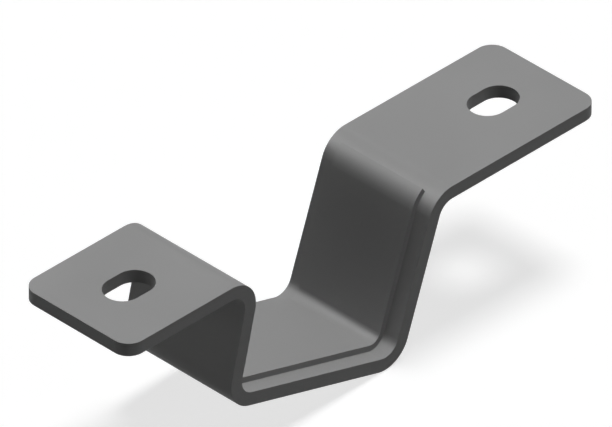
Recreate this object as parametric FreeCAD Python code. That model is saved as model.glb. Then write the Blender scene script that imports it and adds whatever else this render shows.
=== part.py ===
import FreeCAD, Part
import math
import os

# Golf cart canopy bracket: one flat steel strap, bent four times into an upper flange, a saddle and a lower flange.
# The saddle hangs below the flanges and is tilted, so that a leaning frame tube lies square in it.
# Millimetres. +X runs along the strap from the upper flange to the lower one, +Y across its width, +Z up.
# The origin is midway between the two bolt slots, at the height of the upper flange's top face.

os.makedirs("parts", exist_ok=True)

# The strap
strap_width = 40.0
strap_thickness = 4.0
bend_radius = 5.0  # inside radius of all four bends
corner_radius = 5.0  # the free ends' corners, seen from above

# The flanges, measured on the top face to the sharp corner of the bend beside them
upper_flange_length = 49.5
lower_flange_length = 62.3
flange_step = 8.1  # the lower flange's top face lies this far below the upper one's

# The saddle, measured on its inner face between sharp corners
floor_length = 60.2
floor_tilt = 16.1  # degrees; the floor falls towards the lower flange
wall_lean = 3.0  # degrees; each wall leans out from square to the floor
upper_wall_length = 36.8

# The bolt slots, one in each flange, along the strap
slot_width = 11.0  # passes an M10 bolt
slot_length = 15.6
slot_to_end = 20.0  # slot centre to the flange's free end

# The raised land on the saddle's inner face
land_height = 1.75
land_margin = 5.0  # bare strap left at each side of the land
land_start = 1.0  # share of the upper lip's bend that is passed where the land starts
land_stop = 0.5  # share of the lower lip's bend that the land covers

# Modelling allowances
land_root = strap_thickness / 2  # depth to which the land is sunk in the strap, so that the two make one solid
cutter_overrun = 4.0  # how far the slot cutters reach past both faces of a flange


def direction(heading):
    """Unit vector along a heading in the profile plane, in degrees above +X."""
    angle = math.radians(heading)
    return FreeCAD.Vector(math.cos(angle), 0, math.sin(angle))


def normal(heading):
    """Unit vector square to a heading, on the side that the strap's upper face looks to."""
    return direction(heading + 90)


def profile_corners(headings):
    """Sharp corners of the strap's upper face, from free end to free end, with the slots' midpoint at X = 0."""
    start = FreeCAD.Vector(0, 0, 0)
    upper_lip = start + direction(headings[0]) * upper_flange_length
    floor_start = upper_lip + direction(headings[1]) * upper_wall_length
    floor_end = floor_start + direction(headings[2]) * floor_length
    rise = -flange_step - floor_end.z
    lower_lip = floor_end + direction(headings[3]) * (rise / math.sin(math.radians(headings[3])))
    end = lower_lip + direction(headings[4]) * lower_flange_length
    slot_middle = (start.x + end.x) / 2
    shift = FreeCAD.Vector(-slot_middle, 0, 0)
    return [corner + shift for corner in (start, upper_lip, floor_start, floor_end, lower_lip, end)]


class Bend:
    """One bend of the strap. Both faces of the strap, and the land, share its centre."""

    def __init__(self, corner, heading_in, heading_out):
        self.heading = heading_in
        self.turn = heading_out - heading_in
        self.side = math.copysign(1, self.turn)
        # the upper face is the inner one where the strap turns up, and the outer one where it turns down
        self.radius = bend_radius if self.turn > 0 else bend_radius + strap_thickness
        tangent = self.radius * math.tan(math.radians(abs(self.turn)) / 2)
        start = corner - direction(heading_in) * tangent
        self.centre = start + normal(heading_in) * self.side * self.radius

    def point(self, offset, share):
        """Point of the layer at this offset above the upper face, after this share of the bend."""
        heading = self.heading + self.turn * share
        return self.centre - normal(heading) * self.side * (self.radius - self.side * offset)

    def arc(self, offset, first, last):
        middle = (first + last) / 2
        points = [self.point(offset, share) for share in (first, middle, last)]
        return Part.Arc(*points).toShape()


def line(start, end):
    return Part.LineSegment(start, end).toShape()


def layer_edges(bends, offset, first_share, last_share):
    """Arcs and lines of one layer, from a share of the first bend to a share of the last one."""
    edges = []
    for index, bend in enumerate(bends):
        first = first_share if index == 0 else 0.0
        last = last_share if index == len(bends) - 1 else 1.0
        if index > 0:
            edges.append(line(bends[index - 1].point(offset, 1.0), bend.point(offset, 0.0)))
        if last > first:
            edges.append(bend.arc(offset, first, last))
    return edges


def extruded(edges, width):
    """Closed profile drawn out to a width, centred on the strap's middle plane."""
    face = Part.Face(Part.Wire(Part.__sortEdges__(edges)))
    face.translate(FreeCAD.Vector(0, -width / 2, 0))
    return face.extrude(FreeCAD.Vector(0, width, 0))


def bent_strap(corners, bends):
    """The strap at full width, with square free ends."""
    edges = []
    ends = {}
    for offset in (0.0, -strap_thickness):
        lift = FreeCAD.Vector(0, 0, offset)
        ends[offset] = (corners[0] + lift, corners[-1] + lift)
        edges.append(line(ends[offset][0], bends[0].point(offset, 0.0)))
        edges += layer_edges(bends, offset, 0.0, 1.0)
        edges.append(line(bends[-1].point(offset, 1.0), ends[offset][1]))
    for upper, lower in zip(ends[0.0], ends[-strap_thickness]):
        edges.append(line(upper, lower))
    return extruded(edges, strap_width)


def round_free_ends(strap, corners):
    """Rounds the four upright corners at the free ends."""
    end_places = (corners[0].x, corners[-1].x)
    upright = []
    for edge in strap.Edges:
        box = edge.BoundBox
        at_end = any(abs(box.Center.x - place) < 0.001 for place in end_places)
        if at_end and box.XLength < 0.001 and box.YLength < 0.001:
            upright.append(edge)
    return strap.makeFillet(corner_radius, upright)


def slot_cutter(centre):
    """Obround that passes through a flange whose top face is at the centre's height."""
    radius = slot_width / 2
    straight = slot_length / 2 - radius
    near = FreeCAD.Vector(0, radius, 0)
    along = FreeCAD.Vector(straight, 0, 0)
    beyond = FreeCAD.Vector(straight + radius, 0, 0)
    edges = [
        line(centre - along - near, centre + along - near),
        Part.Arc(centre + along - near, centre + beyond, centre + along + near).toShape(),
        line(centre + along + near, centre - along + near),
        Part.Arc(centre - along + near, centre - beyond, centre - along - near).toShape(),
    ]
    face = Part.Face(Part.Wire(edges))
    face.translate(FreeCAD.Vector(0, 0, -strap_thickness - cutter_overrun))
    return face.extrude(FreeCAD.Vector(0, 0, strap_thickness + 2 * cutter_overrun))


def slot_centres(corners):
    inward = FreeCAD.Vector(slot_to_end, 0, 0)
    return [corners[0] + inward, corners[-1] - inward]


def raised_land(bends):
    """The land, which follows the saddle's inner face round three bends at one height."""
    edges = layer_edges(bends, -land_root, land_start, land_stop)
    edges += layer_edges(bends, land_height, land_start, land_stop)
    for bend, share in ((bends[0], land_start), (bends[-1], land_stop)):
        edges.append(line(bend.point(-land_root, share), bend.point(land_height, share)))
    return extruded(edges, strap_width - 2 * land_margin)


down_wall = -90 - floor_tilt + wall_lean
up_wall = 90 - floor_tilt - wall_lean
headings = [0.0, down_wall, -floor_tilt, up_wall, 0.0]
corners = profile_corners(headings)
bends = [Bend(corners[i + 1], headings[i], headings[i + 1]) for i in range(len(headings) - 1)]

strap = round_free_ends(bent_strap(corners, bends), corners)
for centre in slot_centres(corners):
    strap = strap.cut(slot_cutter(centre))

bracket = strap.fuse(raised_land(bends)).removeSplitter()
bracket.exportStep("parts/canopy_bracket.step")
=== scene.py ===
import math

import bpy
from mathutils import Matrix, Vector


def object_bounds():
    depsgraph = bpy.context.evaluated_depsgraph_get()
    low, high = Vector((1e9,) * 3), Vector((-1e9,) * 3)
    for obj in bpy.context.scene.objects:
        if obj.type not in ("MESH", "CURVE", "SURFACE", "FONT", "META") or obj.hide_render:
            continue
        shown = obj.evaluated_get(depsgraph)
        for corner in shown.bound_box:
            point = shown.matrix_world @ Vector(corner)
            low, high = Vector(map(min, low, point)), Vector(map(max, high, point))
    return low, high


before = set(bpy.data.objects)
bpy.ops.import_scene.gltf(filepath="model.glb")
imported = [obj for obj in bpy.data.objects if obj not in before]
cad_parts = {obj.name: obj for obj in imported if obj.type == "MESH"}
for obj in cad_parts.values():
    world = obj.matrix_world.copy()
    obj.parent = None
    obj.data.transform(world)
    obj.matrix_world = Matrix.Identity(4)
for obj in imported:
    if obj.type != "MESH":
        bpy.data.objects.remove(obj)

cad_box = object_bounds()

# The bracket
# One strap of 40 x 4 mm steel bar, bent four times on a press brake after its slots were punched. It is
# powder coated in a satin mid grey, which lies over the strap and the raised land in its saddle alike.

COAT_GREY = 0.26
COAT_ROUGHNESS = 0.60
COAT_SPECULAR = 0.15
CLOUD_SIZE = 0.030  # metres across the faint lighter and darker clouds in the coat
CLOUD_GREY = 0.015  # share by which they change the grey
CLOUD_ROUGHNESS = 0.04
PEEL_SIZE = 0.0011  # metres from one swell of the orange peel to the next
PEEL_DEPTH = 0.000015  # metres
NOISE_LOW, NOISE_HIGH = 0.3, 0.7  # the range that nearly all of a noise's values lie in


def join(tree, outgoing, incoming):
    tree.links.new(outgoing, incoming)


def noise(tree, size, detail):
    """Noise in the piece's own coordinates, with features of about this size in metres."""
    coordinates = tree.nodes.new("ShaderNodeTexCoord")
    texture = tree.nodes.new("ShaderNodeTexNoise")
    texture.inputs["Scale"].default_value = 1 / size
    texture.inputs["Detail"].default_value = detail
    join(tree, coordinates.outputs["Object"], texture.inputs["Vector"])
    return texture.outputs["Fac"]


def vary(tree, source, middle, swing):
    """The middle value, moved up and down by the swing as the noise rises and falls."""
    node = tree.nodes.new("ShaderNodeMapRange")
    node.inputs["From Min"].default_value = NOISE_LOW
    node.inputs["From Max"].default_value = NOISE_HIGH
    node.inputs["To Min"].default_value = middle - swing
    node.inputs["To Max"].default_value = middle + swing
    join(tree, source, node.inputs["Value"])
    return node.outputs["Result"]


def powder_coat():
    """Satin powder coat: an even grey, with the fine swell that the powder leaves when it melts."""
    coat = bpy.data.materials.new("satin_grey_powder_coat")
    coat.use_nodes = True
    tree = coat.node_tree
    shader = tree.nodes["Principled BSDF"]
    shader.inputs["Specular IOR Level"].default_value = COAT_SPECULAR

    clouds = noise(tree, CLOUD_SIZE, detail=3)
    join(tree, vary(tree, clouds, COAT_GREY, COAT_GREY * CLOUD_GREY), shader.inputs["Base Color"])
    join(tree, vary(tree, clouds, COAT_ROUGHNESS, CLOUD_ROUGHNESS), shader.inputs["Roughness"])

    swell = tree.nodes.new("ShaderNodeBump")
    swell.inputs["Distance"].default_value = PEEL_DEPTH
    join(tree, noise(tree, PEEL_SIZE, detail=1), swell.inputs["Height"])
    join(tree, swell.outputs["Normal"], shader.inputs["Normal"])
    return coat


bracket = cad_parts["canopy_bracket"]
bracket.material_slots[0].material = powder_coat()

# The floor and the white surround
# A plain floor, level with the bracket's lowest point. The camera and reflections see floor and surround
# white, and the floor keeps the bracket's shadow. It throws little light back up, as a floor in a large
# studio does.

FLOOR_SIZE = 40.0  # metres
FLOOR_GLOW = 0.735  # what the camera sees of the floor in full shadow
FLOOR_SHADE = 0.42  # takes the lamps' light, which makes the floor white out of the shadow
FLOOR_BOUNCE = 0.06  # the floor's grey to all light that isn't seen or mirrored


def seen_or_mirrored(tree):
    """1 for a ray from the camera, from a reflection or through glass, and 0 for the rest."""
    ray = tree.nodes.new("ShaderNodeLightPath")
    either = ray.outputs["Is Camera Ray"]
    for kind in ("Is Glossy Ray", "Is Transmission Ray"):
        larger = tree.nodes.new("ShaderNodeMath")
        larger.operation = "MAXIMUM"
        join(tree, either, larger.inputs[0])
        join(tree, ray.outputs[kind], larger.inputs[1])
        either = larger.outputs["Value"]
    return either


def matt(tree, grey):
    shader = tree.nodes.new("ShaderNodeBsdfDiffuse")
    shader.inputs["Color"].default_value = (grey, grey, grey, 1)
    return shader.outputs["BSDF"]


def floor_paint():
    """Pale floor: it glows evenly and takes shadows where it is seen, and is dark to all other light."""
    paint = bpy.data.materials.new("pale_floor")
    paint.use_nodes = True
    tree = paint.node_tree
    tree.nodes.remove(tree.nodes["Principled BSDF"])
    glow = tree.nodes.new("ShaderNodeEmission")
    glow.inputs["Strength"].default_value = FLOOR_GLOW
    seen = tree.nodes.new("ShaderNodeAddShader")
    join(tree, glow.outputs["Emission"], seen.inputs[0])
    join(tree, matt(tree, FLOOR_SHADE), seen.inputs[1])
    choice = tree.nodes.new("ShaderNodeMixShader")
    join(tree, seen_or_mirrored(tree), choice.inputs["Fac"])
    join(tree, matt(tree, FLOOR_BOUNCE), choice.inputs[1])
    join(tree, seen.outputs["Shader"], choice.inputs[2])
    join(tree, choice.outputs["Shader"], tree.nodes["Material Output"].inputs["Surface"])
    return paint


half = FLOOR_SIZE / 2
height = cad_box[0].z
floor_corners = [(x, y, height) for x, y in ((-half, -half), (half, -half), (half, half), (-half, half))]
floor_mesh = bpy.data.meshes.new("floor")
floor_mesh.from_pydata(floor_corners, [], [(0, 1, 2, 3)])
floor_mesh.materials.append(floor_paint())
floor = bpy.data.objects.new("floor", floor_mesh)
bpy.context.scene.collection.objects.link(floor)

surround = bpy.data.worlds.new("surround")
surround.use_nodes = True
background = surround.node_tree.nodes["Background"]
background.inputs["Color"].default_value = (1, 1, 1, 1)
join(surround.node_tree, seen_or_mirrored(surround.node_tree), background.inputs["Strength"])
bpy.context.scene.world = surround

# The studio lights
# Soft lamps, far enough off to light all of the bracket alike: a key high over it and three weak fills low
# down round it. The highlight and the sheen show only in reflections, as soft gleams on bends and tops.
# They and the front fill throw no shadows, so the raised land draws no dark line down the saddle's wall.


def lamp(name, azimuth, elevation, strength, softness, shadows=True):
    """A far lamp in this direction from the bracket, in degrees. Azimuth 0 is towards +X."""
    data = bpy.data.lights.new(name, "SUN")
    data.energy = strength
    data.angle = math.radians(softness)
    data.use_shadow = shadows
    light = bpy.data.objects.new(name, data)
    around, up = math.radians(azimuth), math.radians(elevation)
    towards = Vector((math.cos(around) * math.cos(up), math.sin(around) * math.cos(up), math.sin(up)))
    light.rotation_mode = "QUATERNION"
    light.rotation_quaternion = towards.to_track_quat("Z", "Y")
    bpy.context.scene.collection.objects.link(light)
    return light


lamp("key", azimuth=14, elevation=73.3, strength=1.98, softness=20)
lamp("left_fill", azimuth=180, elevation=5, strength=0.31, softness=30)
lamp("far_fill", azimuth=60, elevation=5, strength=0.15, softness=30)
lamp("front_fill", azimuth=300, elevation=5, strength=0.48, softness=30, shadows=False)
highlight = lamp("highlight", azimuth=125, elevation=50, strength=15.8, softness=30, shadows=False)
sheen = lamp("sheen", azimuth=50, elevation=42, strength=2.4, softness=30, shadows=False)
for gleam in (highlight, sheen):
    gleam.visible_diffuse = False

# The camera
# The picture is an exact isometric one. A very long lens from far off comes within a pixel or two of that,
# and still lets the camera move round the whole bracket.

LENS = 1150.0  # millimetres
VIEW_AZIMUTH = -45.437  # degrees; 0 looks along +Y
VIEW_ELEVATION = 35.181
VIEW_ROLL = 0.358
VIEW_DISTANCE = 5.1571  # metres
LOOKS_AT = Vector((-0.004846, -0.002417, -0.007266))

azimuth, elevation = math.radians(VIEW_AZIMUTH), math.radians(VIEW_ELEVATION)
back = Vector((
    math.sin(azimuth) * math.cos(elevation),
    -math.cos(azimuth) * math.cos(elevation),
    math.sin(elevation),
))
turn = (-back).to_track_quat("-Z", "Y").to_matrix() @ Matrix.Rotation(math.radians(VIEW_ROLL), 3, "Z")
camera_data = bpy.data.cameras.new("camera")
camera_data.lens = LENS
camera = bpy.data.objects.new("camera", camera_data)
camera.rotation_mode = "QUATERNION"
camera.rotation_quaternion = turn.to_quaternion()
camera.location = LOOKS_AT + back * VIEW_DISTANCE
bpy.context.scene.collection.objects.link(camera)
bpy.context.scene.camera = camera

bpy.context.scene.view_settings.view_transform = "Standard"
